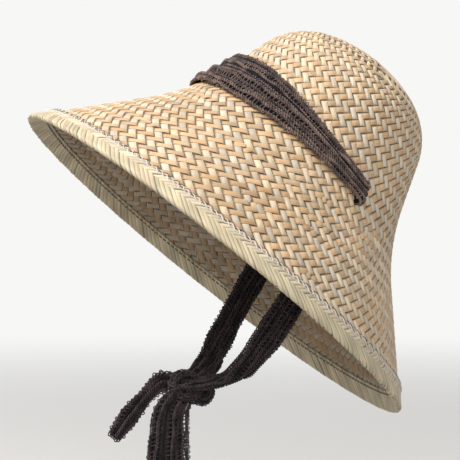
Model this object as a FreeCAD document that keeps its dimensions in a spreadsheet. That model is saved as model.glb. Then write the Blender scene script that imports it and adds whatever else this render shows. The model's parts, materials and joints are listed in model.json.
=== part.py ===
import FreeCAD, Part
import math
import os

import Sketcher

# A woven straw bell hat (a bonnet-shaped sun hat) with a crocheted scarf that crosses the front of
# the crown, goes in through a slit at each side and ties under the chin.
#
# Hat frame: the hat stands on its rim, +Z up the crown's axis, the front of the brim towards -Y and
# the wearer's left towards +X. The model frame is the worn one: +Z is up, the hat leans back about
# X by "tilt", and the origin is the middle of the head opening, where a head holds the hat.

SIZES = [
    # name, value in mm or degrees, what it sets
    ("hat_height", 195.0, "rim plane to the top of the crown, outside"),
    ("brim_radius", 172.0, "half the hat's length at the rim plane"),
    ("waist_radius", 159.5, "curve between the crown's side and the brim"),
    ("side_radius", 84.6, "half the crown's length at the foot of its straight side"),
    ("side_height", 120.6, "rim plane to the foot of the crown's straight side"),
    ("side_angle", 17.7, "lean of the crown's side, from the crown's axis"),
    ("shoulder_radius", 52.0, "curve between the crown's side and its top"),
    ("top_radius", 115.0, "curve of the crown's top"),
    ("oval_ratio", 0.9, "width across over length, as a head is oval"),
    ("wall", 1.6, "woven palm, two strips thick"),
    ("tilt", 39.0, "how far the worn hat leans back"),
    ("opening_height", 90.0, "rim plane to the head opening"),
    ("sewn_clearance", 0.05, "straw or wire to what it is sewn round"),
    ("hem_width", 12.0, "straw edge turned over the brim"),
    ("hem_thickness", 1.1, "thickness of each turned layer"),
    ("wire_drop", 1.7, "wall's edge to the middle of the brim wire"),
    ("thread_radius", 0.5, "sewing thread"),
    ("stitch_pitch", 9.0, "one hem stitch to the next"),
    ("stitch_reach", 3.6, "length of a hem stitch up the slope"),
    ("slit_azimuth", 113.0, "slit's place round the crown, from the front"),
    ("slit_height", 96.0, "rim plane to the middle of the slit"),
    ("slit_length", 19.0, "clear length of the slit, up the slope"),
    ("slit_width", 6.4, "clear width of the slit"),
    ("cloth_clearance", 0.3, "scarf to what it lies on or turns against"),
    ("band_height", 112.0, "rim plane to the middle of the scarf, at the front"),
    ("band_width", 38.0, "scarf over the crown, at the front"),
    ("band_thickness", 5.5, "gathered scarf over the crown, at the front"),
    ("neck_width", 16.0, "scarf where it goes through the slit"),
    ("neck_thickness", 5.0, "scarf where it goes through the slit"),
    ("neck_bend", 3.0, "turn of the scarf's middle into the slit"),
    ("gather_radius", 5.5, "gathered ball inside the slit, on which the strap turns"),
    ("strap_width", 19.0, "scarf below the slit"),
    ("strap_thickness", 6.0, "scarf below the slit"),
    ("cheek_side", 70.0, "strap beside the cheek, from the middle"),
    ("cheek_back", 34.0, "strap beside the cheek, behind the rim's middle"),
    ("cheek_drop", 33.0, "strap beside the cheek, below the rim's middle"),
    ("jaw_side", 58.0, "strap at the jaw, from the middle"),
    ("jaw_back", 13.0, "strap at the jaw, behind the rim's middle"),
    ("jaw_drop", 66.0, "strap at the jaw, below the rim's middle"),
    ("chin_side", 40.0, "strap under the jaw, from the middle"),
    ("chin_back", 1.0, "strap under the jaw, behind the rim's middle"),
    ("chin_drop", 80.0, "strap under the jaw, below the rim's middle"),
    ("knot_side", 12.0, "middle to the knot, towards the left"),
    ("knot_front", 25.0, "knot in front of the rim's middle"),
    ("knot_drop", 88.0, "knot below the rim's middle"),
    ("knot_radius", 13.0, "knot, seen along X"),
    ("knot_length", 27.0, "knot, along X"),
    ("knot_round", 7.0, "rounding of the knot's two ends"),
    ("tail_thickness", 7.0, "folded cloth of both tails"),
    ("tail_round", 2.6, "rounding of the tails' long edges"),
    ("long_tail_side", 6.5, "knot's middle to the long tail, towards the left"),
    ("long_tail_length", 175.0, "long tail, below the knot's middle"),
    ("long_tail_width", 30.0, "long tail, across"),
    ("long_tail_top", 16.0, "long tail's width in the knot"),
    ("long_tail_spread", 26.0, "knot's middle down to the long tail's full width"),
    ("long_tail_front", 13.0, "long tail's middle in front of the knot's"),
    ("short_tail_side", 6.5, "knot's middle to the short tail, towards the right"),
    ("short_tail_width", 16.0, "short tail, across"),
    ("short_tail_reach", 20.0, "knot's middle forward to the short tail's bend"),
    ("short_tail_rise", 3.0, "short tail's bend above the knot's middle"),
    ("short_tail_lean", 38.0, "short tail's slant forward, from hanging"),
    ("short_tail_fall", 60.0, "length of the short tail below its bend"),
]

LEFT, RIGHT = 1, -1
SIDE_NAMES = {LEFT: "left", RIGHT: "right"}
X_AXIS = FreeCAD.Vector(1, 0, 0)
Z_AXIS = FreeCAD.Vector(0, 0, 1)

doc = FreeCAD.newDocument("bell_hat")
sheet = doc.addObject("Spreadsheet::Sheet", "sizes")
for row, (alias, value, note) in enumerate(SIZES, start=1):
    sheet.set(f"A{row}", alias)
    sheet.set(f"B{row}", str(value))
    sheet.set(f"C{row}", note)
    sheet.setAlias(f"B{row}", alias)
doc.recompute()


def size(alias):
    """The value of a cell."""
    return float(sheet.get(alias))


def cell(alias):
    """How an expression reads a cell."""
    return f"<<sizes>>.{alias}"


def angle_cell(alias):
    """How an expression reads a cell that holds degrees."""
    return f"({cell(alias)} * 1 deg)"


# ---------------------------------------------------------------- the bell's outline, (radius, height)


def shift(point, direction, distance):
    return (point[0] + direction[0] * distance, point[1] + direction[1] * distance)


class Outline:
    """The hat's outer outline: points and centres of its lines and arcs, from the sheet's values."""

    def __init__(self):
        self.side = math.radians(size("side_angle"))
        self.side_out = (math.cos(self.side), math.sin(self.side))
        side_up = (-math.sin(self.side), math.cos(self.side))
        self.rim = (size("brim_radius"), 0.0)
        self.side_foot = (size("side_radius"), size("side_height"))
        self.waist_radius = size("waist_radius")
        self.waist_centre = shift(self.side_foot, self.side_out, self.waist_radius)
        # From the rim, the brim runs straight up to where it touches the waist arc.
        across, up = self.waist_centre[0] - self.rim[0], self.waist_centre[1]
        span = math.hypot(across, up)
        self.brim = math.atan2(up, across) - math.acos(self.waist_radius / span)
        self.brim_top = shift(
            self.waist_centre, (math.cos(self.brim), math.sin(self.brim)), -self.waist_radius
        )
        self.apex = (0.0, size("hat_height"))
        self.top_centre = (0.0, size("hat_height") - size("top_radius"))
        # The shoulder arc touches the side's line and, from inside, the top's arc.
        inner = shift(self.side_foot, self.side_out, -size("shoulder_radius"))
        dr, dz = inner[0] - self.top_centre[0], inner[1] - self.top_centre[1]
        along = dr * side_up[0] + dz * side_up[1]
        span = size("top_radius") - size("shoulder_radius")
        rise = -along + math.sqrt(along * along - dr * dr - dz * dz + span * span)
        self.shoulder_centre = shift(inner, side_up, rise)
        self.shoulder_foot = shift(self.side_foot, side_up, rise)
        toward = (
            (self.shoulder_centre[0] - self.top_centre[0]) / span,
            (self.shoulder_centre[1] - self.top_centre[1]) / span,
        )
        self.shoulder_top = shift(self.top_centre, toward, size("top_radius"))

    def radius_at(self, height):
        """Outer radius at a height on the brim, the waist or the crown's side."""
        if height < self.brim_top[1]:
            return self.rim[0] - height * math.tan(self.brim)
        if height < self.side_foot[1]:
            drop = height - self.waist_centre[1]
            return self.waist_centre[0] - math.sqrt(self.waist_radius**2 - drop * drop)
        return self.side_foot[0] - (height - self.side_foot[1]) * math.tan(self.side)

    def slope_at(self, height):
        """Angle between the outline and the axis at a height, in radians."""
        if height < self.brim_top[1]:
            return self.brim
        if height < self.side_foot[1]:
            return math.asin((self.waist_centre[1] - height) / self.waist_radius)
        return self.side


outline = Outline()


def brim_cells():
    """How an expression reads the brim's slope, from the crown's axis."""
    radius, side = cell("waist_radius"), angle_cell("side_angle")
    across = f"({cell('side_radius')} + {radius} * cos({side}) - {cell('brim_radius')})"
    up = f"({cell('side_height')} + {radius} * sin({side}))"
    return f"(atan2({up}; {across}) - acos({radius} / hypot({across}; {up})))"


def on_hat(azimuth, height, offset=0.0):
    """A point of the hat frame that lies off the outer surface by offset, and the normal there."""
    turn, slope = math.radians(azimuth), outline.slope_at(height)
    ratio, radius = size("oval_ratio"), outline.radius_at(height)
    point = FreeCAD.Vector(ratio * radius * math.sin(turn), -radius * math.cos(turn), height)
    normal = FreeCAD.Vector(math.sin(turn) / ratio, -math.cos(turn), math.tan(slope))
    normal.normalize()
    return point + normal * offset, normal


# ---------------------------------------------------------------- the worn frame

LEAN = FreeCAD.Rotation(X_AXIS, -size("tilt"))
RIM_MIDDLE = LEAN.multVec(FreeCAD.Vector(0, 0, size("opening_height"))) * -1
WORN = FreeCAD.Placement(RIM_MIDDLE, LEAN)


def bind_worn(obj):
    """Leans a hat-frame object back as worn, its placement bound to the sheet."""
    obj.Placement = FreeCAD.Placement(RIM_MIDDLE, FreeCAD.Rotation(X_AXIS * -1, size("tilt")))
    height, tilt = cell("opening_height"), angle_cell("tilt")
    obj.setExpression("Placement.Base.y", f"-{height} * sin({tilt})")
    obj.setExpression("Placement.Base.z", f"-{height} * cos({tilt})")
    obj.setExpression("Placement.Rotation.Angle", tilt)
    return obj


def bind_at_knot(obj, side=""):
    """Puts an object made about the knot's middle in its worn place; side is added along X."""
    height, tilt = cell("opening_height"), angle_cell("tilt")
    obj.setExpression("Placement.Base.x", f"{cell('knot_side')}{side}")
    obj.setExpression("Placement.Base.y", f"-{cell('knot_front')} - {height} * sin({tilt})")
    obj.setExpression("Placement.Base.z", f"-{cell('knot_drop')} - {height} * cos({tilt})")
    return obj


def from_rim(x, y, z):
    """A worn point given from the rim's middle."""
    return RIM_MIDDLE + FreeCAD.Vector(x, y, z)


# ---------------------------------------------------------------- sketch helpers


def new_body(name):
    return doc.addObject("PartDesign::Body", name)


def new_sketch(body, name, plane="XZ_Plane"):
    sketch = body.newObject("Sketcher::SketchObject", name)
    origin = next(item for item in body.Origin.OriginFeatures if item.Role == plane)
    sketch.AttachmentSupport = [(origin, "")]
    sketch.MapMode = "FlatFace"
    return sketch


def point2(pair):
    return FreeCAD.Vector(pair[0], pair[1], 0)


def line(sketch, start, end):
    return sketch.addGeometry(Part.LineSegment(point2(start), point2(end)), False)


def arc(sketch, start, end, centre, radius):
    """A counter-clockwise arc from start to end about centre."""
    angles = [math.atan2(p[1] - centre[1], p[0] - centre[0]) for p in (start, end)]
    circle = Part.Circle(point2(centre), Z_AXIS, radius)
    return sketch.addGeometry(Part.ArcOfCircle(circle, *angles), False)


def constrain(sketch, name, expression, *constraint):
    """A dimension whose value follows an expression of the sheet's cells."""
    index = sketch.addConstraint(Sketcher.Constraint(*constraint))
    sketch.renameConstraint(index, name)
    sketch.setExpression(f"Constraints.{name}", expression)


def join(sketch, *ends):
    sketch.addConstraint(Sketcher.Constraint("Coincident", *ends))


def tangent(sketch, *ends):
    sketch.addConstraint(Sketcher.Constraint("Tangent", *ends))


def revolve(body, sketch, name, kind="PartDesign::Revolution"):
    feature = body.newObject(kind, name)
    feature.Profile = sketch
    feature.ReferenceAxis = (sketch, ["V_Axis"])
    feature.Angle = 360.0
    doc.recompute()
    body.Tip = feature
    return feature


def make_oval(base, label):
    """The round shape narrowed across, as the hat takes the shape of a head."""
    oval = doc.addObject("Part::Scale", label)
    oval.Base = base
    oval.Uniform = False
    oval.setExpression("XScale", cell("oval_ratio"))
    doc.recompute()
    return oval


def boolean(kind, name, base, tool):
    result = doc.addObject(kind, name)
    result.Base = base
    result.Tool = tool
    doc.recompute()
    return result


def pinned_polygon(sketch, corners):
    """A closed polygon, each corner held by two dimensions: (name, x, y, x value, y value)."""
    edges = []
    for i, corner in enumerate(corners):
        after = corners[(i + 1) % len(corners)]
        edges.append(line(sketch, corner[3:5], after[3:5]))
    for i, edge in enumerate(edges):
        join(sketch, edge, 2, edges[(i + 1) % len(edges)], 1)
    for edge, (name, across, up, x_value, y_value) in zip(edges, corners):
        constrain(sketch, f"{name}_across", across, "DistanceX", -1, 1, edge, 1, x_value)
        constrain(sketch, f"{name}_up", up, "DistanceY", -1, 1, edge, 1, y_value)
    doc.recompute()


# ---------------------------------------------------------------- woven straw body


def bell_sketch(body, name, inset, inset_cells):
    """Half section of the bell: rim plane, brim, waist arc, crown side, shoulder arc and top arc.

    An inset moves brim, waist, side, shoulder and top inward by the same distance.
    """
    o = outline
    inward = (-math.cos(o.brim), -math.sin(o.brim))
    rim = (o.rim[0] - inset / math.cos(o.brim), 0.0)
    brim_top = shift(o.brim_top, inward, inset)
    side_foot = shift(o.side_foot, o.side_out, -inset)
    shoulder_foot = shift(o.shoulder_foot, o.side_out, -inset)
    shoulder, crown = size("shoulder_radius") - inset, size("top_radius") - inset
    share = crown / size("top_radius")
    shoulder_top = (
        o.top_centre[0] + (o.shoulder_top[0] - o.top_centre[0]) * share,
        o.top_centre[1] + (o.shoulder_top[1] - o.top_centre[1]) * share,
    )
    apex = (0.0, o.apex[1] - inset)
    sketch = new_sketch(body, name)
    base = line(sketch, (0.0, 0.0), rim)
    brim = line(sketch, rim, brim_top)
    waist = arc(sketch, side_foot, brim_top, o.waist_centre, o.waist_radius + inset)
    side = line(sketch, side_foot, shoulder_foot)
    round_arc = arc(sketch, shoulder_foot, shoulder_top, o.shoulder_centre, shoulder)
    top = arc(sketch, shoulder_top, apex, o.top_centre, crown)
    axis = line(sketch, apex, (0.0, 0.0))
    join(sketch, base, 1, -1, 1)
    join(sketch, axis, 2, -1, 1)
    join(sketch, base, 2, brim, 1)
    tangent(sketch, brim, 2, waist, 2)
    tangent(sketch, waist, 1, side, 1)
    tangent(sketch, side, 2, round_arc, 1)
    tangent(sketch, round_arc, 2, top, 1)
    join(sketch, top, 2, axis, 1)
    sketch.addConstraint(Sketcher.Constraint("Horizontal", base))
    sketch.addConstraint(Sketcher.Constraint("Vertical", axis))
    sketch.addConstraint(Sketcher.Constraint("PointOnObject", top, 3, -2))
    brim_angle, side_angle = brim_cells(), angle_cell("side_angle")
    for label, expression, kind, value in (
        ("rim", f"{cell('brim_radius')} - {inset_cells} / cos({brim_angle})",
         ("DistanceX", base, 1, base, 2), rim[0]),
        ("rise", f"{cell('hat_height')} - {inset_cells}",
         ("DistanceY", axis, 2, axis, 1), apex[1]),
        ("foot_across", f"{cell('side_radius')} - {inset_cells} * cos({side_angle})",
         ("DistanceX", -1, 1, side, 1), side_foot[0]),
        ("foot_up", f"{cell('side_height')} - {inset_cells} * sin({side_angle})",
         ("DistanceY", -1, 1, side, 1), side_foot[1]),
        ("shoulder", f"{cell('shoulder_radius')} - {inset_cells}", ("Radius", round_arc), shoulder),
        ("crown", f"{cell('top_radius')} - {inset_cells}", ("Radius", top), crown),
        ("brim_slope", f"90 deg + {brim_angle}", ("Angle", brim), math.pi / 2 + o.brim),
        ("side_slope", f"90 deg + {side_angle}", ("Angle", side), math.pi / 2 + o.side),
    ):
        constrain(sketch, label, expression, *kind, value)
    doc.recompute()
    return sketch


def woven_body(slits):
    """The straw bell, woven in one piece, with the two slits cut in it."""
    body = new_body("round_bell")
    revolve(body, bell_sketch(body, "bell_outline", 0.0, "0"), "bell")
    before = body.Shape.Volume
    inner = bell_sketch(body, "bell_inside", size("wall"), cell("wall"))
    revolve(body, inner, "bell_hollow", "PartDesign::Groove")
    if body.Shape.Volume > before * 0.5:
        raise RuntimeError("the bell is not hollow")
    cutters = doc.addObject("Part::MultiFuse", "slit_cutters")
    cutters.Shapes = slits
    oval = make_oval(body, "oval_bell")
    return bind_worn(boolean("Part::Cut", "woven_body", oval, cutters))


# ---------------------------------------------------------------- brim edge: hem, wire, stitches


def edge_point(along, out=0.0):
    """A point near the rim: along goes down the slope from the wall's edge, out along its normal."""
    down = (math.sin(outline.brim), -math.cos(outline.brim))
    normal = (math.cos(outline.brim), math.sin(outline.brim))
    middle = (size("brim_radius") - size("wall") / 2 / math.cos(outline.brim), 0.0)
    return shift(shift(middle, down, along), normal, out)


def constrain_wire_middle(sketch, circle):
    """Holds the centre of a circle or arc where the brim wire's middle is."""
    centre, slope = edge_point(size("wire_drop")), brim_cells()
    middle = f"{cell('brim_radius')} - {cell('wall')} / 2 / cos({slope})"
    constrain(
        sketch, "wire_across", f"{middle} + {cell('wire_drop')} * sin({slope})",
        "DistanceX", -1, 1, circle, 3, centre[0],
    )
    constrain(
        sketch, "wire_down", f"{cell('wire_drop')} * cos({slope})",
        "DistanceY", circle, 3, -1, 1, -centre[1],
    )


def strip_sketch(body, name, half, half_cells, reach, reach_cells):
    """A strip along the brim's slope that ends in a half circle round the wire's middle."""
    drop = size("wire_drop")
    sketch = new_sketch(body, name)
    outer = line(sketch, edge_point(-reach, half), edge_point(drop, half))
    inner = line(sketch, edge_point(drop, -half), edge_point(-reach, -half))
    top = line(sketch, edge_point(-reach, -half), edge_point(-reach, half))
    turn = arc(
        sketch, edge_point(drop, -half), edge_point(drop, half), edge_point(drop), half
    )
    tangent(sketch, turn, 1, inner, 1)
    tangent(sketch, turn, 2, outer, 2)
    join(sketch, inner, 2, top, 1)
    join(sketch, top, 2, outer, 1)
    sketch.addConstraint(Sketcher.Constraint("Perpendicular", top, outer))
    constrain_wire_middle(sketch, turn)
    constrain(sketch, "half", half_cells, "Radius", turn, half)
    constrain(sketch, "reach", reach_cells, "Distance", outer, reach + drop)
    constrain(
        sketch, "slope", f"{brim_cells()} - 90 deg", "Angle", outer, outline.brim - math.pi / 2
    )
    doc.recompute()
    return sketch


def brim_hem():
    """The straw edge, turned over the brim on both sides and round the wire."""
    body = new_body("round_hem")
    hollow = size("wall") / 2 + size("sewn_clearance")
    hollow_cells = f"{cell('wall')} / 2 + {cell('sewn_clearance')}"
    revolve(
        body,
        strip_sketch(
            body, "hem_outline", hollow + size("hem_thickness"),
            f"{hollow_cells} + {cell('hem_thickness')}",
            size("hem_width"), f"{cell('hem_width')} + {cell('wire_drop')}",
        ),
        "hem_solid",
    )
    before = body.Shape.Volume
    revolve(
        body,
        strip_sketch(
            body, "hem_fold", hollow, hollow_cells,
            size("hem_width") * 1.1, f"{cell('hem_width')} * 1.1 + {cell('wire_drop')}",
        ),
        "hem_hollow", "PartDesign::Groove",
    )
    if body.Shape.Volume > before * 0.9:
        raise RuntimeError("the hem's fold is not hollow")
    hem = make_oval(body, "brim_hem")
    return bind_worn(hem)


def brim_wire():
    """The round wire inside the hem, which keeps the brim's edge in shape."""
    body = new_body("round_wire")
    sketch = new_sketch(body, "wire_section")
    middle, radius = edge_point(size("wire_drop")), size("wall") / 2
    # The round section is drawn in six arcs, so that the thin ring is meshed finely enough.
    count = 6
    corners = []
    for i in range(count + 1):
        turn = 2 * math.pi * i / count
        corners.append(shift(middle, (math.cos(turn), math.sin(turn)), radius))
    arcs = [arc(sketch, a, b, middle, radius) for a, b in zip(corners, corners[1:])]
    for before, after in zip(arcs, arcs[1:]):
        join(sketch, before, 2, after, 1)
        join(sketch, arcs[0], 3, after, 3)
    # The last corner is on the same circle as the first, so level with it is enough to close.
    sketch.addConstraint(Sketcher.Constraint("Horizontal", arcs[-1], 2, arcs[0], 1))
    constrain_wire_middle(sketch, arcs[0])
    constrain(sketch, "thick", f"{cell('wall')} / 2", "Radius", arcs[0], radius)
    doc.recompute()
    revolve(body, sketch, "wire_ring")
    return bind_worn(make_oval(body, "brim_wire"))


def thread(points):
    """Thread along straight runs through the points, rounded at each."""
    radius = size("thread_radius")
    runs = [
        Part.makeCylinder(radius, (b - a).Length, a, b - a) for a, b in zip(points, points[1:])
    ]
    balls = [Part.makeSphere(radius, point) for point in points]
    return runs[0].fuse(runs[1:] + balls).removeSplitter()


def thread_ring(name, foot, local_points, count):
    """Equal stitches round the hat.

    foot is a (radius, height, slope) of the oval. Local points are (along the ring, up the slope,
    off the surface) from it.
    """
    stitch = thread([FreeCAD.Vector(*point) for point in local_points])
    radius, height, slope = foot
    ratio = size("oval_ratio")
    stitches = []
    for i in range(count):
        turn = 2 * math.pi * i / count
        place = FreeCAD.Vector(ratio * radius * math.sin(turn), -radius * math.cos(turn), height)
        normal = FreeCAD.Vector(math.sin(turn) / ratio, -math.cos(turn), math.tan(slope))
        normal.normalize()
        along = Z_AXIS.cross(normal)
        copy = stitch.copy()
        copy.Placement = FreeCAD.Placement(
            place, FreeCAD.Rotation(along, normal.cross(along), normal, "ZXY")
        )
        stitches.append(copy)
    ring = doc.addObject("Part::Feature", name)
    ring.Shape = Part.makeCompound(stitches)
    return bind_worn(ring)


def stitches_round(radius, pitch):
    """Whole number of stitches round the oval of this radius."""
    return max(3, round(math.pi * radius * (1 + size("oval_ratio")) / pitch))


def hem_stitching():
    """Slanting stitches over the hem's upper edge, which hold the turned straw down."""
    radius, spare = size("thread_radius"), size("sewn_clearance")
    hem = spare + size("hem_thickness")
    reach = size("stitch_reach")
    pitch = size("stitch_pitch")
    corner = edge_point(-size("hem_width"), size("wall") / 2)
    points = [
        (-pitch / 4, -reach / 2, hem + radius + spare),
        (0.0, radius / 2, hem + radius + spare),
        (pitch / 4, (reach + radius) / 2, radius + spare),
    ]
    count = stitches_round(size("brim_radius"), pitch)
    return thread_ring("hem_stitching", (*corner, outline.brim), points, count)


# ---------------------------------------------------------------- slits


def slit_frame(side):
    """The slit's middle on the outer surface, its normal, and its direction up the slope."""
    middle, normal = on_hat(side * size("slit_azimuth"), size("slit_height"))
    across = Z_AXIS.cross(normal)
    across.normalize()
    return middle, normal, normal.cross(across)


def slit_cutter(side):
    """A prism with the slit's outline, through the wall along its normal."""
    name = f"slit_{SIDE_NAMES[side]}"
    middle, normal, up_slope = slit_frame(side)
    wide, depth = cell("slit_width"), f"8 * {cell('wall')}"
    gap = f"({cell('slit_length')} - {wide})"
    block = doc.addObject("Part::Box", f"{name}_block")
    for prop, expression in (
        ("Length", wide), ("Width", gap), ("Height", depth),
        ("Placement.Base.x", f"-{wide} / 2"), ("Placement.Base.y", f"-{gap} / 2"),
        ("Placement.Base.z", f"-{depth} / 2"),
    ):
        block.setExpression(prop, expression)
    ends = []
    for where, sign in (("low", "-"), ("high", "")):
        end = doc.addObject("Part::Cylinder", f"{name}_{where}")
        end.setExpression("Radius", f"{wide} / 2")
        end.setExpression("Height", depth)
        end.setExpression("Placement.Base.y", f"{sign}{gap} / 2")
        end.setExpression("Placement.Base.z", f"-{depth} / 2")
        ends.append(end)
    prism = doc.addObject("Part::MultiFuse", name)
    prism.Shapes = [block, *ends]
    prism.Refine = True
    turn = FreeCAD.Rotation(up_slope.cross(normal), up_slope, normal, "ZYX")
    prism.Placement = FreeCAD.Placement(middle - normal * (size("wall") / 2), turn)
    doc.recompute()
    return prism


# ---------------------------------------------------------------- scarf over the crown

SECTION_STEPS = 16
SQUARENESS = 0.65


def rounded(turn):
    """A point of a unit outline between an ellipse and a rectangle."""
    across, out = math.cos(turn), math.sin(turn)
    return (
        math.copysign(abs(across) ** SQUARENESS, across),
        math.copysign(abs(out) ** SQUARENESS, out),
    )


def closed_curve(points):
    """A closed wire of four smooth quarters, so that neighbouring sections match corner to corner."""
    quarter = len(points) // 4
    ring = points + points[:1]
    edges = []
    for i in range(4):
        curve = Part.BSplineCurve()
        curve.interpolate(ring[i * quarter : (i + 1) * quarter + 1])
        edges.append(curve.toShape())
    return Part.Wire(edges)


SECTION_TURNS = [2 * math.pi * i / SECTION_STEPS for i in range(SECTION_STEPS)]


def flat_section(middle, wide, thick):
    """A section of gathered cloth: wide and thick are half widths with their directions."""
    return closed_curve(
        [middle + wide * across + thick * out for across, out in map(rounded, SECTION_TURNS)]
    )


def ease(share):
    """Goes smoothly from 0 to 1."""
    share = min(max(share, 0.0), 1.0)
    return share * share * (3 - 2 * share)


def crown_section(azimuth, share):
    """Section of the scarf on the crown; share is 0 at the front and 1 beside the slit."""
    narrow = ease(share)
    middle = size("band_height") + (size("slit_height") - size("band_height")) * share**1.6
    width = size("band_width") + (size("neck_width") - size("band_width")) * narrow
    thick = size("band_thickness") + (size("neck_thickness") - size("band_thickness")) * narrow
    lift = size("cloth_clearance")
    points = []
    for across, out in map(rounded, SECTION_TURNS):
        height = middle + across * width / 2 * math.cos(outline.slope_at(middle))
        points.append(on_hat(azimuth, height, lift + (1 + out) * thick / 2)[0])
    return closed_curve(points)


def slit_bend(side):
    """The scarf's last section before it turns into the slit, its middle and its directions."""
    middle, normal, up_slope = slit_frame(side)
    back = up_slope.cross(normal) * side
    bend, thick = size("neck_bend"), size("neck_thickness")
    lift = size("cloth_clearance") + thick / 2
    start = middle + normal * lift - back * bend
    section = flat_section(start, up_slope * (size("neck_width") / 2), normal * (thick / 2))
    return section, start, normal, up_slope, back, lift


def slit_neck(side):
    """The turn of the scarf into the slit and its run through the wall."""
    section, start, normal, up_slope, back, lift = slit_bend(side)
    bend = size("neck_bend")
    axis = normal.cross(back)
    pivot = start - normal * bend
    turn = Part.Face(section).revolve(pivot, axis, 90)
    end = Part.Face(section)
    end.rotate(pivot, axis, 90)
    depth = size("wall") + size("cloth_clearance")
    run = end.extrude(normal * -(lift - bend + depth))
    return [turn, run]


def scarf_crown_band():
    """The gathered scarf, from the left slit across the front of the crown to the right slit."""
    last = size("slit_azimuth") - math.degrees(
        size("neck_bend") / (outline.radius_at(size("slit_height")) * size("oval_ratio"))
    )
    count = 41
    sections = [slit_bend(RIGHT)[0]]
    for i in range(1, count - 1):
        share = 2.0 * i / (count - 1) - 1
        sections.append(crown_section(share * last, abs(share)))
    sections.append(slit_bend(LEFT)[0])
    band = Part.makeLoft(sections, True, True)
    whole = band.fuse(slit_neck(LEFT) + slit_neck(RIGHT))
    feature = doc.addObject("Part::Feature", "scarf_crown_band")
    feature.Shape = whole
    return bind_worn(feature)


# ---------------------------------------------------------------- scarf below the slits


def gather_middle(side):
    """Middle of the gathered ball inside the slit, in the worn frame."""
    middle, normal, _ = slit_frame(side)
    depth = size("wall") + 2 * size("cloth_clearance")
    return WORN.multVec(middle - normal * (depth + size("gather_radius")))


def spline_point(points, place):
    """Point and direction of the smooth curve through points, at a place counted in points."""
    index = min(int(place), len(points) - 2)
    t = place - index
    p1, p2 = points[index], points[index + 1]
    p0 = points[index - 1] if index > 0 else p1 * 2 - p2
    p3 = points[index + 2] if index + 2 < len(points) else p2 * 2 - p1
    m1, m2 = (p2 - p0) * 0.5, (p3 - p1) * 0.5
    point = (
        p1 * (2 * t**3 - 3 * t**2 + 1) + m1 * (t**3 - 2 * t**2 + t)
        + p2 * (3 * t**2 - 2 * t**3) + m2 * (t**3 - t**2)
    )
    tangent_there = (
        p1 * (6 * t**2 - 6 * t) + m1 * (3 * t**2 - 4 * t + 1)
        + p2 * (6 * t - 6 * t**2) + m2 * (3 * t**2 - 2 * t)
    )
    tangent_there.normalize()
    return point, tangent_there


def strap_loft(side):
    """The scarf from the ball at the slit, past cheek and jaw, into the knot."""
    route = [gather_middle(side)]
    for place in ("cheek", "jaw", "chin"):
        route.append(
            from_rim(
                side * size(f"{place}_side"), size(f"{place}_back"), -size(f"{place}_drop")
            )
        )
    route.append(from_rim(size("knot_side"), -size("knot_front"), -size("knot_drop")))
    steps = 22
    sections = []
    for i in range(steps + 1):
        place = i * (len(route) - 1) / steps
        point, tangent_there = spline_point(route, place)
        # The cloth lies flat on the cheek, then flat under the jaw.
        roll = ease((place - 1.0) / 2.0) * math.pi / 2
        out = FreeCAD.Vector(side * math.cos(roll), 0, -math.sin(roll))
        wide = tangent_there.cross(out)
        wide.normalize()
        thick = wide.cross(tangent_there)
        spread = 0.45 + 0.55 * ease(place / 0.6)
        sections.append(
            flat_section(
                point, wide * (size("strap_width") / 2 * spread),
                thick * (size("strap_thickness") / 2),
            )
        )
    loft = Part.makeLoft(sections, True, True)
    ball = Part.makeSphere(size("gather_radius"), gather_middle(side))
    feature = doc.addObject("Part::Feature", f"strap_{SIDE_NAMES[side]}")
    feature.Shape = loft.fuse(ball)
    return feature


def knot_body(name, grow=None):
    """The knot: a short drum along X with rounded ends, or the same grown all round."""
    extra = f" + {cell(grow)}" if grow else ""
    body = new_body(name)
    sketch = new_sketch(body, f"{name}_section", "YZ_Plane")
    ring = sketch.addGeometry(
        Part.Circle(FreeCAD.Vector(0, 0, 0), Z_AXIS, size("knot_radius")), False
    )
    join(sketch, ring, 3, -1, 1)
    constrain(
        sketch, "knot", f"{cell('knot_radius')}{extra}", "Radius", ring, size("knot_radius")
    )
    doc.recompute()
    drum = body.newObject("PartDesign::Pad", f"{name}_drum")
    drum.Profile = sketch
    drum.Midplane = True
    drum.setExpression("Length", f"{cell('knot_length')}" + (f" + 2 * {cell(grow)}" if grow else ""))
    doc.recompute()
    ends = [
        f"Edge{i}" for i, edge in enumerate(drum.Shape.Edges, start=1)
        if edge.Curve.TypeId == "Part::GeomCircle"
    ]
    rounding = body.newObject("PartDesign::Fillet", f"{name}_round")
    rounding.Base = (drum, ends)
    rounding.setExpression("Radius", f"{cell('knot_round')}{extra}")
    doc.recompute()
    body.Tip = rounding
    return bind_at_knot(body)


def scarf_strap(side, knot_room):
    strap = boolean("Part::Cut", f"scarf_strap_{SIDE_NAMES[side]}", strap_loft(side), knot_room)
    return strap


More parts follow.
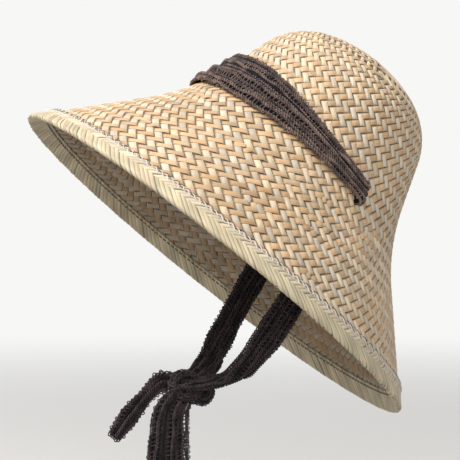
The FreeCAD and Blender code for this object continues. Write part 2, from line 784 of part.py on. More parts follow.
def flat_tail(name, corners, side_cells):
    """A tail of folded cloth: its outline seen along X, its thickness and its rounded edges."""
    body = new_body(f"{name}_body")
    sketch = new_sketch(body, f"{name}_outline", "YZ_Plane")
    pinned_polygon(sketch, corners)
    cloth = body.newObject("PartDesign::Pad", f"{name}_cloth")
    cloth.Profile = sketch
    cloth.Midplane = True
    cloth.setExpression("Length", cell("tail_thickness"))
    doc.recompute()
    rims = [
        f"Edge{i}" for i, edge in enumerate(cloth.Shape.Edges, start=1)
        if edge.BoundBox.XLength < size("tail_thickness") / 100
    ]
    rounding = body.newObject("PartDesign::Fillet", f"{name}_round")
    rounding.Base = (cloth, rims)
    rounding.setExpression("Radius", cell("tail_round"))
    doc.recompute()
    body.Tip = rounding
    bind_at_knot(body, side_cells)
    # Room for the knot, about the axis that the tail swings on.
    room = doc.addObject("Part::Cylinder", f"{name}_room")
    room.Placement.Rotation = FreeCAD.Rotation(FreeCAD.Vector(0, 1, 0), 90)
    room.setExpression("Radius", f"{cell('knot_radius')} + {cell('cloth_clearance')}")
    room.setExpression("Height", f"2 * {cell('knot_length')}")
    bind_at_knot(room, f" - {cell('knot_length')}")
    doc.recompute()
    return boolean("Part::Cut", name, body, room)


def scarf_tail_long():
    top, width, front = size("long_tail_top"), size("long_tail_width"), size("long_tail_front")
    spread, length = size("long_tail_spread"), size("long_tail_length")
    half_top = f"{cell('long_tail_top')} / 2"
    back = f"{cell('long_tail_width')} / 2 - {cell('long_tail_front')}"
    fore = f"-{cell('long_tail_width')} / 2 - {cell('long_tail_front')}"
    down, end = f"-{cell('long_tail_spread')}", f"-{cell('long_tail_length')}"
    corners = [
        ("top_back", half_top, "0", top / 2, 0.0),
        ("top_front", f"-{half_top}", "0", -top / 2, 0.0),
        ("full_front", fore, down, -width / 2 - front, -spread),
        ("end_front", fore, end, -width / 2 - front, -length),
        ("end_back", back, end, width / 2 - front, -length),
        ("full_back", back, down, width / 2 - front, -spread),
    ]
    return flat_tail("scarf_tail_long", corners, f" + {cell('long_tail_side')}")


def scarf_tail_short():
    lean = math.radians(size("short_tail_lean"))
    half, reach = size("short_tail_width") / 2, size("short_tail_reach")
    rise, fall = size("short_tail_rise"), size("short_tail_fall")
    half_cells = f"{cell('short_tail_width')} / 2"
    sine, cosine = f"sin({angle_cell('short_tail_lean')})", f"cos({angle_cell('short_tail_lean')})"
    reach_cells, rise_cells = cell("short_tail_reach"), cell("short_tail_rise")

    def corner(name, side, down):
        sign = "-" if side > 0 else "+"
        other = "+" if side > 0 else "-"
        fall_cells = cell("short_tail_fall") if down else "0"
        length = fall if down else 0.0
        return (
            name,
            f"-{reach_cells} - {fall_cells} * {sine} {sign} {half_cells} * {cosine}",
            f"{rise_cells} - {fall_cells} * {cosine} {other} {half_cells} * {sine}",
            -reach - length * math.sin(lean) - side * half * math.cos(lean),
            rise - length * math.cos(lean) + side * half * math.sin(lean),
        )

    corners = [
        ("top", "0", half_cells, 0.0, half),
        corner("bend_front", 1, False),
        corner("end_front", 1, True),
        corner("end_back", -1, True),
        corner("bend_back", -1, False),
        ("foot", "0", f"-{half_cells}", 0.0, -half),
    ]
    return flat_tail("scarf_tail_short", corners, f" - {cell('short_tail_side')}")


# ---------------------------------------------------------------- build, check, write

cutters = [slit_cutter(side) for side in (LEFT, RIGHT)]
knot_room = knot_body("knot_room", "sewn_clearance")
PARTS = [
    woven_body(cutters),
    brim_hem(),
    brim_wire(),
    hem_stitching(),
    scarf_crown_band(),
    scarf_strap(LEFT, knot_room),
    scarf_strap(RIGHT, knot_room),
    knot_body("scarf_knot"),
    scarf_tail_long(),
    scarf_tail_short(),
]
doc.recompute()

for obj in doc.Objects:
    if "Invalid" in obj.State or "Error" in obj.State:
        raise RuntimeError(f"{obj.Name} failed: {obj.State}")
for part in PARTS:
    if part.Shape.isNull() or not part.Shape.isValid():
        raise RuntimeError(f"{part.Label} has no valid shape")

os.makedirs("parts", exist_ok=True)
for part in PARTS:
    shape = part.Shape
    shape.exportStep(f"parts/{part.Label}.step")
    box = shape.BoundBox
    print(
        f"{part.Label}: {len(shape.Solids)} solid(s), {shape.Volume / 1000:.2f} cm3, "
        f"x {box.XMin:.1f}..{box.XMax:.1f}, y {box.YMin:.1f}..{box.YMax:.1f}, "
        f"z {box.ZMin:.1f}..{box.ZMax:.1f}"
    )
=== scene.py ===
import json
import math
import random

import bpy
import numpy as np
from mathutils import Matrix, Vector

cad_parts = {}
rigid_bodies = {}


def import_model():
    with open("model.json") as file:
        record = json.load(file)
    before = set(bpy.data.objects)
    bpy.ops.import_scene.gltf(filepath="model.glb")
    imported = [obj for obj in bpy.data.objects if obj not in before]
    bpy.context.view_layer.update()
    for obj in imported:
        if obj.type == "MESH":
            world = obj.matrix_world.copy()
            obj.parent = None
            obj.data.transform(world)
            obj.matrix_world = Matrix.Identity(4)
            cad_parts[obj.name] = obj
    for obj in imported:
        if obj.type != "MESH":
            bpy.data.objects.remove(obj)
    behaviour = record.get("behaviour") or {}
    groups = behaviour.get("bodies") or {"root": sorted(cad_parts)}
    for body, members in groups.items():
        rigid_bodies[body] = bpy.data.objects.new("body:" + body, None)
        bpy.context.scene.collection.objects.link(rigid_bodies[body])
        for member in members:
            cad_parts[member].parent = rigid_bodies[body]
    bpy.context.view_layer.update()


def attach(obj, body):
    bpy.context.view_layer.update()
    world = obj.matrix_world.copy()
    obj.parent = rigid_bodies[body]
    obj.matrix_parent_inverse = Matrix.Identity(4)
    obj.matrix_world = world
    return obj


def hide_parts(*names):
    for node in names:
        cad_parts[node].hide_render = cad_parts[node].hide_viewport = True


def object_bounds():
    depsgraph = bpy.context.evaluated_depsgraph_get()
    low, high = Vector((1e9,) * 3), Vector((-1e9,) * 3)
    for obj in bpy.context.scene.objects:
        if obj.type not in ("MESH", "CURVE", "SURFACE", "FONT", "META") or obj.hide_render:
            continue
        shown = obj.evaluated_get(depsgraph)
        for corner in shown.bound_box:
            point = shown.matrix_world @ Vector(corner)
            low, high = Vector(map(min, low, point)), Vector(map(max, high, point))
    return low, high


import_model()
RNG = random.Random(11)

# ---- the bell, mm and degrees

HEIGHT, RIM, WAIST = 195.0, 172.0, 159.5
SIDE_R, SIDE_Z, SIDE_DEG = 84.6, 120.6, 17.7
SHOULDER, TOP, OVAL, WALL = 52.0, 115.0, 0.9, 1.6
TILT, OPENING = math.radians(39.0), 90.0
OVAL_MEAN = 0.95
ARC_STEPS, LINE_STEPS, RIM_STEPS, PAST_RIM = 200, 100, 240, 1.12
HINGE = Vector((0.0, 0.028561, -0.019629))
KNOT = Vector((0.012, -0.081639, -0.157943))


def arc_rows(centre, radius, angles):
    """Points and outward normals of an arc; a negative radius is an arc hollow to the outside."""
    return [
        (centre[0] + radius * math.cos(a), centre[1] + radius * math.sin(a),
         math.cos(a), math.sin(a))
        for a in angles
    ]


def line_rows(start, end, normal, shares):
    return [
        (start[0] + (end[0] - start[0]) * f, start[1] + (end[1] - start[1]) * f, *normal)
        for f in shares
    ]


def bell_profile():
    """The outline from the top of the crown to the rim: arc length, radius, height, normal."""
    side, waist = math.radians(SIDE_DEG), WAIST
    out, up = (math.cos(side), math.sin(side)), (-math.sin(side), math.cos(side))
    waist_c = (SIDE_R + out[0] * waist, SIDE_Z + out[1] * waist)
    across, rise = waist_c[0] - RIM, waist_c[1]
    brim = math.atan2(rise, across) - math.acos(waist / math.hypot(across, rise))
    inner = (SIDE_R - out[0] * SHOULDER, SIDE_Z - out[1] * SHOULDER)
    top_c = (0.0, HEIGHT - TOP)
    dr, dz = inner[0], inner[1] - top_c[1]
    along = dr * up[0] + dz * up[1]
    span = TOP - SHOULDER
    rise = -along + math.sqrt(along * along - dr * dr - dz * dz + span * span)
    sh_c = (inner[0] + up[0] * rise, inner[1] + up[1] * rise)
    turn = math.atan2(sh_c[1] - top_c[1], sh_c[0])
    head = (SIDE_R + up[0] * rise, SIDE_Z + up[1] * rise)
    rows = arc_rows(top_c, TOP, np.linspace(math.pi / 2, turn, ARC_STEPS)[:-1])
    rows += arc_rows(sh_c, SHOULDER, np.linspace(turn, side, ARC_STEPS)[:-1])
    rows += line_rows(head, (SIDE_R, SIDE_Z), out, np.linspace(0, 1, LINE_STEPS)[:-1])
    rows += arc_rows(waist_c, -waist, np.linspace(side, brim, ARC_STEPS))
    slope = (math.cos(brim), math.sin(brim))
    rows += line_rows(rows[-1], (RIM, 0.0), slope, np.linspace(0, PAST_RIM, RIM_STEPS)[1:])
    rows = np.array(rows)
    steps = np.hypot(np.diff(rows[:, 0]), np.diff(rows[:, 1]))
    return np.concatenate([[0.0], np.cumsum(steps)]), rows


ARC, ROWS = bell_profile()
RIM_ARC = float(np.interp(0.0, -ROWS[:, 1], ARC))


def radius_at(arc):
    return np.interp(arc, ARC, ROWS[:, 0])


def arc_at_height(height):
    return float(np.interp(-height, -ROWS[:, 1], ARC))


def to_worn(points):
    """Hat frame in mm to the worn frame in m."""
    points = np.asarray(points, float)
    x, y, z = points[..., 0], points[..., 1], points[..., 2] - OPENING
    cosine, sine = math.cos(TILT), math.sin(TILT)
    return np.stack([x, y * cosine + z * sine, -y * sine + z * cosine], -1) * 0.001


def on_bell(arc, theta, off=0.0):
    """Points and normals of the hat frame, off the outer surface by off; theta 0 is the front."""
    arc, theta = np.broadcast_arrays(np.asarray(arc, float), np.asarray(theta, float))
    r = np.interp(arc, ARC, ROWS[:, 0])
    z = np.interp(arc, ARC, ROWS[:, 1])
    nr = np.interp(arc, ARC, ROWS[:, 2])
    nz = np.interp(arc, ARC, ROWS[:, 3])
    sine, cosine = np.sin(theta), np.cos(theta)
    normal = unit(np.stack([nr * sine / OVAL, -nr * cosine, nz], -1))
    place = np.stack([OVAL * r * sine, -r * cosine, z], -1)
    return place + normal * np.asarray(off)[..., None], normal


# ---- mesh helpers


def unit(v):
    v = np.asarray(v, float)
    return v / np.maximum(np.linalg.norm(v, axis=-1, keepdims=True), 1e-12)


def ease(x):
    """0 to 1 with level ends."""
    x = np.clip(x, 0, 1)
    return x * x * (3 - 2 * x)


def make_mesh(name, material, verts, faces, colors, uvs):
    """A mesh object from arrays; colors and uvs are per vertex."""
    mesh = bpy.data.meshes.new(name)
    verts = np.asarray(verts, np.float64)
    faces = np.asarray(faces, np.int64)
    mesh.from_pydata(verts.tolist(), [], faces.tolist())
    mesh.polygons.foreach_set("use_smooth", [True] * len(mesh.polygons))
    loops = np.empty(len(mesh.loops), np.int64)
    mesh.loops.foreach_get("vertex_index", loops)
    layer = mesh.color_attributes.new("tint", "FLOAT_COLOR", "POINT")
    rgba = np.ones((len(verts), 4))
    rgba[:, :3] = colors
    layer.data.foreach_set("color", rgba.ravel())
    layer = mesh.uv_layers.new(name="strip")
    layer.data.foreach_set("uv", np.asarray(uvs)[loops].ravel())
    mesh.update()
    mesh.materials.append(material)
    obj = bpy.data.objects.new(name, mesh)
    bpy.context.scene.collection.objects.link(obj)
    return obj


class Batch:
    """Grids of vertices gathered into one mesh."""

    def __init__(self):
        self.verts, self.faces, self.colors, self.uvs, self.count = [], [], [], [], 0

    def grid(self, points, color, uv, wrap=False, keep=None):
        """points is rows x across x 3; wrap closes each row; keep drops rows whose flag is off."""
        rows, across = points.shape[:2]
        self.verts.append(points.reshape(-1, 3))
        index = np.arange(rows * across).reshape(rows, across) + self.count
        right = np.roll(index, -1, axis=1)
        last = across if wrap else across - 1
        quads = np.stack(
            [index[:-1, :last], right[:-1, :last], right[1:, :last], index[1:, :last]], -1
        )
        if keep is not None:
            quads = quads[np.asarray(keep, bool)]
        self.faces.append(quads.reshape(-1, 4))
        self.colors.append(np.broadcast_to(color, (rows, across, 3)).reshape(-1, 3))
        self.uvs.append(uv.reshape(-1, 2))
        self.count += rows * across

    def build(self, name, material):
        parts = (self.verts, self.faces, self.colors, self.uvs)
        return make_mesh(name, material, *(np.concatenate(part) for part in parts))


def grid_uv(rows, across, shape):
    """Texture places from a value for each row and a value for each column."""
    return np.stack([np.broadcast_to(rows, shape), np.broadcast_to(across, shape)], -1)


def path_length(points):
    """The length of a path up to each of its points."""
    return np.concatenate([[0], np.cumsum(np.linalg.norm(np.diff(points, axis=0), axis=1))])


def tube(batch, path, radius, sides, color, caps=True):
    """A tube along a path of points; caps pinch its ends shut."""
    path = np.asarray(path, float)
    count = len(path)
    radii = [radius] * count
    along = unit(np.gradient(path, axis=0))
    side = np.zeros_like(path)
    guess = np.array([0.0, 0.0, 1.0]) if abs(along[0][2]) < 0.9 else np.array([1.0, 0.0, 0.0])
    for i in range(count):
        guess = guess - along[i] * guess.dot(along[i])
        guess /= max(np.linalg.norm(guess), 1e-12)
        side[i] = guess
    up = np.cross(along, side)
    if caps:
        path = np.concatenate([path[:1], path, path[-1:]])
        side, up = (np.concatenate([v[:1], v, v[-1:]]) for v in (side, up))
        radii = [radius * 0.05, *radii, radius * 0.05]
    turns = np.linspace(0, 2 * math.pi, sides, endpoint=False)[None, :]
    ring = (
        side[:, None, :] * np.cos(turns)[..., None] + up[:, None, :] * np.sin(turns)[..., None]
    ) * np.array(radii)[:, None, None]
    lengths = path_length(path)[:, None] * 1000
    uv = grid_uv(lengths, turns / (2 * math.pi) * 3, (len(path), sides))
    batch.grid(path[:, None, :] + ring, color, uv, wrap=True)


# ---- materials


def new_material(name):
    material = bpy.data.materials.new(name)
    material.use_nodes = True
    nodes, links = material.node_tree.nodes, material.node_tree.links
    return material, nodes, links, nodes["Principled BSDF"]


def set_inputs(made, values):
    for key, value in values.items():
        made.inputs[key].default_value = value
    return made


def node(nodes, kind, inputs=None, **settings):
    """A new node; inputs are its sockets' values, settings its own attributes."""
    made = nodes.new(kind)
    for key, value in settings.items():
        setattr(made, key, value)
    return set_inputs(made, inputs or {})


def noise(nodes, scale, detail=2.0, roughness=0.5):
    values = {"Scale": scale, "Detail": detail, "Roughness": roughness}
    return node(nodes, "ShaderNodeTexNoise", values)


def multiply(nodes, links, factor, first, second):
    """One colour times another, by factor; second is a socket or a fixed colour."""
    made = node(nodes, "ShaderNodeMix", {0: factor}, data_type="RGBA", blend_type="MULTIPLY")
    links.new(first, made.inputs[6])
    if isinstance(second, tuple):
        made.inputs[7].default_value = second
    else:
        links.new(second, made.inputs[7])
    return made.outputs[2]


def add_bump(nodes, links, shader, height, strength, distance):
    bump = node(nodes, "ShaderNodeBump", {"Strength": strength, "Distance": distance})
    links.new(height, bump.inputs["Height"])
    links.new(bump.outputs[0], shader.inputs["Normal"])


def mapped(nodes):
    """The vertex tint, the places along and across a strip, and the place in the object."""
    tint = node(nodes, "ShaderNodeVertexColor", layer_name="tint")
    uv = node(nodes, "ShaderNodeUVMap", uv_map="strip")
    coord = node(nodes, "ShaderNodeTexCoord")
    return tint.outputs["Color"], uv.outputs[0], coord.outputs["Object"]


def ramp(nodes, stops):
    made = nodes.new("ShaderNodeValToRGB")
    made.color_ramp.elements[0].position, made.color_ramp.elements[0].color = stops[0]
    made.color_ramp.elements[1].position, made.color_ramp.elements[1].color = stops[-1]
    for position, color in stops[1:-1]:
        element = made.color_ramp.elements.new(position)
        element.color = color
    return made


def straw_material(name, stain=0.35):
    """Palm strip: colour by strip, fine fibres along it, soft stains and a low gloss."""
    material, nodes, links, shader = new_material(name)
    tint, uv, coord = mapped(nodes)
    fibre_map = node(nodes, "ShaderNodeMapping", {"Scale": (0.09, 2.6, 1.0)})
    fibres = noise(nodes, 1.0, 6.0, 0.7)
    fibre_ramp = ramp(
        nodes,
        [(0.28, (0.5, 0.42, 0.3, 1)), (0.45, (0.9, 0.87, 0.82, 1)), (0.72, (1.16, 1.15, 1.13, 1))],
    )
    stains = noise(nodes, 26.0, 3.0)
    stain_ramp = ramp(nodes, [(0.3, (0.8, 0.74, 0.66, 1)), (0.62, (1.05, 1.04, 1.02, 1))])
    links.new(uv, fibre_map.inputs[0])
    links.new(fibre_map.outputs[0], fibres.inputs["Vector"])
    links.new(fibres.outputs["Fac"], fibre_ramp.inputs[0])
    links.new(coord, stains.inputs["Vector"])
    links.new(stains.outputs["Fac"], stain_ramp.inputs[0])
    fibred = multiply(nodes, links, 0.85, tint, fibre_ramp.outputs[0])
    stained = multiply(nodes, links, stain, fibred, stain_ramp.outputs[0])
    links.new(stained, shader.inputs["Base Color"])
    add_bump(nodes, links, shader, fibres.outputs["Fac"], 0.35, 0.0004)
    set_inputs(shader, {"Roughness": 0.5, "Specular IOR Level": 0.35})
    return material


STRAW = straw_material("straw")


# ---- the weave

TOP_RINGS, TOP_PITCH = 17, 3.85
CROWN_PITCH, BRIM_PITCH = 5.4, 5.5
BRIM_ARC, HALF_GAP = 150.0, 0.492


def weave_rings():
    """Crossing rings from the top of the crown to the rim: arc, angles and links to the next ring.

    The top starts as a square grid whose rings grow by four crossings. Below it each crossing of
    the next ring lies between two of this one, and folded strips are added as the brim widens.
    """
    arcs = [i * TOP_PITCH for i in range(TOP_RINGS + 1)]
    thetas = [np.zeros(1)]
    for i in range(1, TOP_RINGS + 1):
        thetas.append(2 * math.pi * np.arange(4 * i) / (4 * i))
    added = [set() for _ in arcs]
    moved = [list(range(len(t))) for t in thetas]
    while arcs[-1] < RIM_ARC - 1.0:
        arc, theta = arcs[-1], thetas[-1]
        r = float(radius_at(arc)) * OVAL_MEAN
        share = min(max((arc - BRIM_ARC) / 50.0, 0.0), 1.0)
        pitch = CROWN_PITCH + (BRIM_PITCH - CROWN_PITCH) * share
        wanted = 2 * math.pi * r * math.sqrt(0.5) / pitch
        extra = int(min(max(round(wanted - len(theta)), 0), 4))
        places = set()
        start = RNG.random()
        for n in range(extra):
            places.add(int(((start + (n + RNG.uniform(-0.2, 0.2)) / extra) % 1.0) * len(theta)))
        grown, marks, kept = [], set(), []
        for i, value in enumerate(theta):
            kept.append(len(grown))
            grown.append(value)
            if i in places:
                after = theta[(i + 1) % len(theta)] + (2 * math.pi if i + 1 == len(theta) else 0)
                marks.add(len(grown))
                grown.append((value + after) / 2)
        thetas[-1], added[-1], moved[-1] = np.array(grown), marks, kept
        theta = thetas[-1]
        after = np.roll(theta, -1)
        after[-1] += 2 * math.pi
        below = (theta + after) / 2
        for _ in range(6):
            left, right = np.roll(below, 1), np.roll(below, -1)
            left[0] -= 2 * math.pi
            right[-1] += 2 * math.pi
            below = below * 0.5 + (left + right) * 0.25
        spacing = 2 * math.pi * r / len(theta)
        arcs.append(arc + spacing / 2)
        thetas.append(below)
        added.append(set())
        moved.append(list(range(len(below))))
    return arcs, thetas, added, moved


def chain_out(thetas, moved, ring, index, kind, theta):
    """Nodes of a strip from a crossing out to the rim; kind is +1 where theta grows."""
    nodes_out = []
    while ring + 1 < len(thetas):
        index = index if kind > 0 else (index - 1) % len(thetas[ring])
        ring += 1
        index = moved[ring][index]
        value = thetas[ring][index]
        while value - theta > math.pi:
            value -= 2 * math.pi
        while value - theta < -math.pi:
            value += 2 * math.pi
        theta = value
        nodes_out.append((ring, theta, kind))
    return nodes_out


def weave_strips():
    """Every strip's crossings (ring, theta, kind) before, in and after the crown's top."""
    arcs, thetas, added, moved = weave_rings()
    strips = []
    full = TOP_RINGS

    def polar(x, y):
        ring = abs(x) + abs(y)
        if ring == 0:
            return 0, 0.0, 0
        if x > 0 and y >= 0:
            quadrant, step = 0, y
        elif y > 0:
            quadrant, step = 1, -x
        elif x < 0:
            quadrant, step = 2, -y
        else:
            quadrant, step = 3, x
        return ring, 2 * math.pi * (quadrant * ring + step) / (4 * ring), quadrant * ring + step

    for across in (True, False):
        for m in range(-full, full + 1):
            reach = full - abs(m)
            grid = [(m, n) if across else (n, m) for n in range(-reach, reach + 1)]
            middle = []
            for x, y in grid:
                ring, theta, index = polar(x, y)
                sign = 1 if x * y > 0 else -1 if x * y < 0 else 0
                middle.append([ring, theta, (sign if across else -sign), index])
            before, after = [], []
            if m != 0:
                x, y = grid[-1]
                kind_after = (1 if m > 0 else -1) * (1 if across else -1)
                ends = [(moved[full][n[3]], n[1]) for n in (middle[0], middle[-1])]
                after = chain_out(thetas, moved, full, ends[1][0], kind_after, ends[1][1])
                before = chain_out(thetas, moved, full, ends[0][0], -kind_after, ends[0][1])
            strips.append((before[::-1], middle, after))
    for ring, marks in enumerate(added):
        for index in marks:
            theta = thetas[ring][index]
            for kind in (1, -1):
                tail = chain_out(thetas, moved, ring, index, kind, theta)
                strips.append(([], [[ring, theta, kind, index]], tail))
    return arcs, thetas, strips


def over(ring, kind, arc, theta):
    """+1 where a strip lies over at a crossing, -1 under: a twill of three whose wales are rings.

    One family floats over two and under one; on the front of the brim the two change places.
    """
    phase = ring % 3
    first = 1 if phase == 0 or (phase == 1 and not on_front(arc, theta)) else -1
    return first if kind >= 0 else -first


def on_front(arc, theta):
    """The part of the brim where the second family floats over two."""
    return math.cos(theta) > 0.1 * math.sin(9 * theta) and arc > BRIM_ARC


SLIT_ARC, SLIT_THETA = arc_at_height(96.0), math.radians(113.0)
CREAM = np.array([0.84, 0.71, 0.54])
TAN = np.array([0.74, 0.52, 0.32])


def in_slit(arc, theta):
    """Where the two slits open the weave."""
    angle = (theta + math.pi) % (2 * math.pi) - math.pi
    r = radius_at(arc) * 0.93
    across = (np.abs(angle) - SLIT_THETA) * r
    along = np.maximum(np.abs(arc - SLIT_ARC) - 6.3, 0)
    return np.hypot(across, along) < 3.4


# Across a strip: places in half widths, and how far each lies below the strip's middle, in mm.
STRIP_ACROSS = np.array([-1.0, -0.84, -0.74, 0.0, 0.74, 0.84, 1.0])
STRIP_DROP = np.array([-0.80, -0.42, -0.17, 0.16, -0.17, -0.42, -0.80])
STRIP_LIFT, LEAST_WIDTH = 0.6, 3.1


def strip_rows(arcs, thetas, crossings):
    """Stations along a strip: place, normal, height, width, arc, theta, kind, tone, single."""
    ring, theta, kind = (np.array(values, float) for values in zip(*crossings))
    arc = np.array([arcs[int(t)] for t in ring])
    place, normal = on_bell(arc, theta, -WALL / 2)
    state = np.array([over(int(t), k, a, h) for t, k, a, h in zip(ring, kind, arc, theta)], float)
    count = np.array([max(len(thetas[int(t)]), 4) for t in ring], float)
    width = 2 * math.pi * radius_at(arc) * OVAL_MEAN / count
    width = np.maximum(width * math.sqrt(0.5), LEAST_WIDTH)
    rows = []
    for i in range(len(ring) - 1):
        tone = RNG.uniform(0.90, 1.09)
        # A float over one crossing is long and proud, a float over two is shorter and flat.
        single = (kind[i] >= 0) == on_front(arc[i], theta[i])
        reach = 0.64 if single else 0.37
        turn = reach if state[i] > 0 else 1 - reach
        changes = state[i] != state[i + 1]
        step = theta[i + 1] - theta[i]
        if abs(step) > math.pi:
            step -= math.copysign(2 * math.pi, step)
        for f in (0.0, turn - 0.12, turn + 0.12) if changes else (0.0, 0.5):
            if changes:
                height = state[i] if f < turn else state[i + 1]
                height *= 0.78 if f else 1.22 if single and height > 0 else 1.0
            else:
                height = state[i] * (1.14 if f else 1.0)
            place_f, normal_f, width_f, arc_f = (
                v[i] * (1 - f) + v[i + 1] * f for v in (place, normal, width, arc)
            )
            rows.append((
                place_f, normal_f, height, width_f, arc_f, theta[i] + step * f, kind[i], tone,
                single,
            ))
    return [np.array(values) for values in zip(*rows)]


def strip_ribbon(batch, arcs, thetas, strip):
    """One strip of the weave as a ribbon that bows up in its middle and dips at its edges."""
    crossings = [tuple(n[:3]) for part in strip for n in part]
    if len(crossings) < 3:
        return
    p, n, heights, widths, arc, theta, kinds, tones, single = strip_rows(arcs, thetas, crossings)
    n = unit(n)
    side = unit(np.cross(n, unit(np.gradient(p, axis=0))))
    state = np.clip(heights, -1, 1)
    half = widths * HALF_GAP * RNG.uniform(0.96, 1.02)
    half = half * np.where(state < 0, 1.07, np.where(single, 1.03, 0.93))
    lean = RNG.uniform(-0.06, 0.06)
    up = (
        (heights * STRIP_LIFT)[:, None] + STRIP_DROP[None, :] * state[:, None]
        + lean * STRIP_ACROSS[None, :]
    )
    points = (
        p[:, None, :] + side[:, None, :] * (half[:, None] * STRIP_ACROSS[None, :])[..., None]
        + n[:, None, :] * up[..., None]
    )
    length = path_length(p)
    start = RNG.uniform(0, 900)
    uv = grid_uv(
        length[:, None] + start, half[:, None] * STRIP_ACROSS[None, :] + start * 0.37,
        points.shape[:2],
    )
    # The crown's top mixes both colours; further out one family is pale and the other tan.
    share = ease((arc - 22.0) / 38.0)
    pale = (0.5 + 0.5 * kinds * share)[:, None]
    color = TAN * (1 - pale) + CREAM * pale
    bright = RNG.uniform(0.86, 1.12)
    warm = RNG.uniform(-0.05, 0.05)
    color = color * bright * np.array([1 + warm, 1.0, 1 - warm * 1.6])
    slow = 1 + 0.07 * np.sin(length / RNG.uniform(14, 30) + RNG.uniform(0, 6))[:, None]
    # Painted shade: a strip is darker by 0.6 where it passes under another, on top of its random
    # tone.
    tone_and_painted_shade = np.where(heights < 0, 0.6, 1.0)[:, None] * tones[:, None]
    color = np.clip(color * slow * tone_and_painted_shade, 0, 1)
    color = np.broadcast_to(color[:, None, :], (*points.shape[:2], 3)).copy()
    # Painted shade: the edges are darker, most of all the one that faces the crown's foot, which
    # carries a painted shadow line.
    down = on_bell(arc + 1.0, theta)[0] - on_bell(arc, theta)[0]
    lower = np.sign((side * down).sum(1)) * np.where(kinds < 0, 1, -1)
    # Painted shadow line along the edge facing the crown's foot, darkest on the tan strips.
    painted_shadow_depth = np.where(kinds < 0, 0.06, 0.2)
    for column, sign, share in ((0, -1, 1.0), (1, -1, 0.75), (5, 1, 0.75), (6, 1, 1.0)):
        line = 1 - (1 - np.where(lower * sign > 0, painted_shadow_depth, 0.62)) * share
        color[:, column] *= line[:, None]
    cut = in_slit(arc, theta)
    keep = ~(cut[:-1] | cut[1:])
    batch.grid(to_worn(points), color, uv, keep=keep)


def build_weave():
    arcs, thetas, strips = weave_strips()
    batches = [Batch() for _ in range(4)]
    for n, strip in enumerate(strips):
        strip_ribbon(batches[n % 4], arcs, thetas, strip)
    for n, batch in enumerate(batches):
        piece = batch.build(f"weave_{n}", STRAW)
        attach(piece, "hat")
        if n == 0:
            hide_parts("woven_body")


build_weave()


# ---- the scarf's paths, worn frame, m

BAND_AZIMUTH, BAND_HEIGHT, SLIT_HEIGHT = 110.98, 112.0, 96.0
BAND_WIDTH, BAND_THICK, NECK_WIDTH, NECK_THICK = 38.0, 5.5, 16.0, 5.0
CLOTH_GAP, STRAP_WIDTH, STRAP_THICK = 0.3, 19.0, 6.0
SCARF_WIDTH, NECK_SWELL, SHORT_OF_KNOT = 0.065, 1.2, 0.008
STEP = 0.62e-3


class Cloth:
    """A gathered length of the scarf. at(w, h) is the point w half widths across and h half
    thicknesses out, for every station."""

    def __init__(self, middle, wide, out, half_width, half_thick):
        count = len(middle)
        self.middle, self.wide, self.out = middle, unit(wide), unit(out)
        self.half_width = np.broadcast_to(half_width, (count,)).astype(float)
        self.half_thick = np.broadcast_to(half_thick, (count,)).astype(float)
        self.length = path_length(middle)
        self.count = count

    def at(self, w, h):
        w = np.broadcast_to(w, (self.count,))
        h = np.broadcast_to(h, (self.count,))
        return (
            self.middle + self.wide * (w * self.half_width)[:, None]
            + self.out * (h * self.half_thick)[:, None]
        )


class CrownCloth(Cloth):
    """The scarf over the crown, which follows the bell across its width too."""

    def __init__(self):
        last = math.radians(BAND_AZIMUTH)
        around = int(2 * last * 0.088 / STEP)
        share = np.linspace(-1, 1, around)
        self.theta = share * last
        narrow = ease(np.abs(share)) ** 2
        height = BAND_HEIGHT + (SLIT_HEIGHT - BAND_HEIGHT) * np.abs(share) ** 1.6
        height = height + 2.0 * (ease(np.abs(share)) - narrow) / 0.25
        self.arc = np.array([arc_at_height(z) for z in height])
        self.widths = (BAND_WIDTH + (NECK_WIDTH - BAND_WIDTH) * narrow) / 2
        self.thicks = (BAND_THICK + (NECK_THICK - BAND_THICK) * narrow) / 2
        self.turns = np.linspace(0, math.pi / 2, 9)[1:]
        self.neck = np.array([1.6, 3.2, 4.8, 6.4])
        self.ends = len(self.turns) + len(self.neck)
        total = around + 2 * self.ends
        half_width = np.full(total, NECK_WIDTH / 2 * NECK_SWELL)
        half_width[self.ends:-self.ends] = self.widths
        half_thick = np.full(total, NECK_THICK / 2 * NECK_SWELL)
        half_thick[self.ends:-self.ends] = self.thicks
        self.count = total
        self.half_width, self.half_thick = half_width * 1e-3, half_thick * 1e-3
        middle = self.at(0.0, 0.0)
        wide = self.at(0.2, 0.0) - self.at(-0.2, 0.0)
        out = self.at(0.0, 1.0) - middle
        super().__init__(middle, wide, out, self.half_width, self.half_thick)

    def at(self, w, h):
        w = np.broadcast_to(w, (self.count,))
        h = np.broadcast_to(h, (self.count,))
        mid = slice(self.ends, -self.ends)
        off = CLOTH_GAP + (1 + h[mid]) * self.thicks
        over_crown, _ = on_bell(self.arc - w[mid] * self.widths, self.theta, off)
        parts = []
        for end, side, part in (
            (0, -1, slice(0, self.ends)), (-1, 1, slice(self.count - self.ends, self.count))
        ):
            # The way round the slit's edge and down into it, counted from the crown's last row.
            ws, hs = w[part][::side], h[part][::side]
            swell = 1 + (NECK_SWELL - 1) * np.minimum(np.arange(1, len(ws) + 1) / 6, 1)
            base = on_bell(self.arc[end] - ws * swell * NECK_WIDTH / 2, self.theta[end])[0]
            here, mid_normal = on_bell(self.arc[end], self.theta[end])
            ahead = unit(on_bell(self.arc[end], self.theta[end] + side * 0.01)[0] - here)
            radius = CLOTH_GAP + (1 + hs * swell) * NECK_THICK / 2 + 0.2
            turn = np.concatenate([self.turns, np.full(len(self.neck), math.pi / 2)])
            sink = np.concatenate([np.zeros(len(self.turns)), self.neck])
            points = (
                base - mid_normal * 0.2
                + mid_normal * (radius * np.cos(turn) - sink)[:, None]
                + ahead * (radius * np.sin(turn))[:, None]
            )
            parts.append(points[::side])
        return to_worn(np.concatenate([parts[0], over_crown, parts[1]]))


